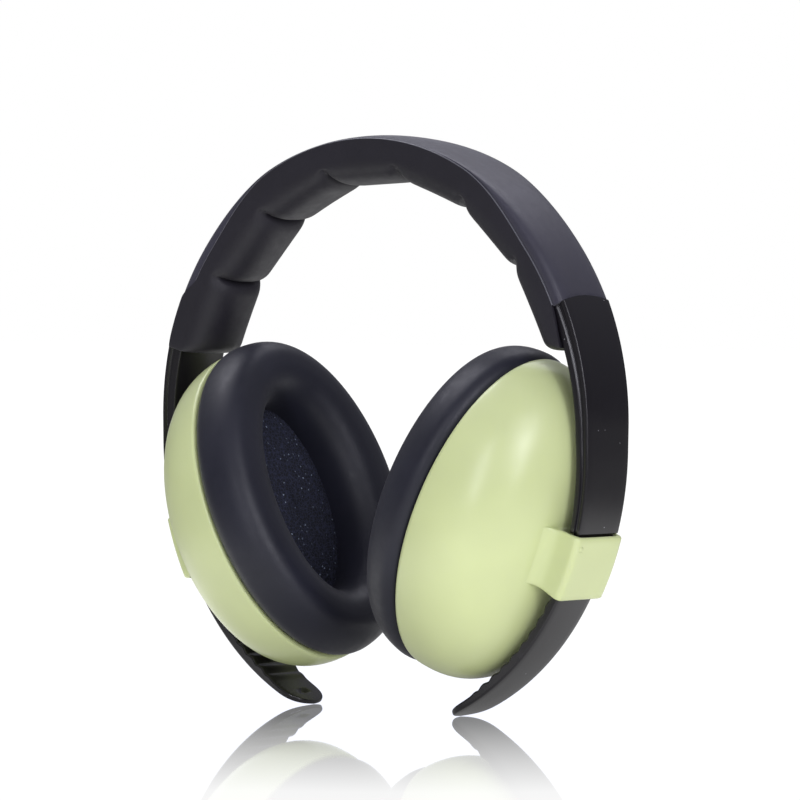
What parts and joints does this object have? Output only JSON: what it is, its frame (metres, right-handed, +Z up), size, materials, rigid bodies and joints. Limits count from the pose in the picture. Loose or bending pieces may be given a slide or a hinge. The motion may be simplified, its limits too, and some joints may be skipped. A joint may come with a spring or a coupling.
{
  "type": "child's ear defenders",
  "caption": "Passive ear defenders: a padded spring headband whose toothed tails slide through a bracket on each domed, cushioned ear cup.",
  "frame": {"origin": "on the ground under the crown, midway between the cups and on the band's centre plane", "axes": "+Z up, +X towards the right cup, +Y to the back; right means the +X side"},
  "size_m": [0.142, 0.0622, 0.1429],
  "materials": {
    "band_plastic": "glossy black moulded plastic",
    "slider_plastic": "satin black",
    "cup_plastic": "semi-gloss pale lime",
    "cover_leatherette": "smooth satin dark grey",
    "lining_leatherette": "matte black, padded",
    "cushion_leatherette": "soft satin black",
    "pad_foam": "open-cell foam",
    "cup_foam": "speckled open-cell foam"
  },
  "bodies": {
    "right_side": {"band_right": "band_plastic", "cover_right": "cover_leatherette", "lining_right": "lining_leatherette", "foam_pad_4": "pad_foam", "foam_pad_5": "pad_foam", "foam_pad_6": "pad_foam", "foam_pad_7": "pad_foam"},
    "left_side": {"band_left": "band_plastic", "cover_left": "cover_leatherette", "lining_left": "lining_leatherette", "foam_pad_1": "pad_foam", "foam_pad_2": "pad_foam", "foam_pad_3": "pad_foam"},
    "right_slider": {"slider_right": "slider_plastic"},
    "left_slider": {"slider_left": "slider_plastic"},
    "right_cup": {"cup_shell_right": "cup_plastic", "bracket_right": "cup_plastic", "cushion_plate_right": "slider_plastic", "ear_cushion_right": "cushion_leatherette", "cushion_foam_right": "pad_foam", "acoustic_foam_right": "cup_foam"},
    "left_cup": {"cup_shell_left": "cup_plastic", "bracket_left": "cup_plastic", "cushion_plate_left": "slider_plastic", "ear_cushion_left": "cushion_leatherette", "cushion_foam_left": "pad_foam", "acoustic_foam_left": "cup_foam"}
  },
  "joints": [
    {"name": "band_spread", "type": "hinge", "parent": "right_side", "child": "left_side", "pos_m": [0, 0, 0.14285], "axis": [0, 1, 0], "range_deg": [0, 48], "stiffness_Nm_per_rad": 0.8},
    {"name": "right_size", "type": "hinge", "parent": "right_side", "child": "right_slider", "pos_m": [0, 0, 0.06615], "axis": [0, 1, 0], "range_deg": [0, 13.8]},
    {"name": "left_size", "type": "hinge", "parent": "left_side", "child": "left_slider", "pos_m": [0, 0, 0.06615], "axis": [0, -1, 0], "range_deg": [0, 13.8]},
    {"name": "right_cup_tilt", "type": "hinge", "parent": "right_slider", "child": "right_cup", "pos_m": [0.06259, 0, 0.03907], "axis": [0, 1, 0], "range_deg": [-3, 3]},
    {"name": "left_cup_tilt", "type": "hinge", "parent": "left_slider", "child": "left_cup", "pos_m": [-0.06259, 0, 0.03907], "axis": [0, -1, 0], "range_deg": [-3, 3]}
  ]
}
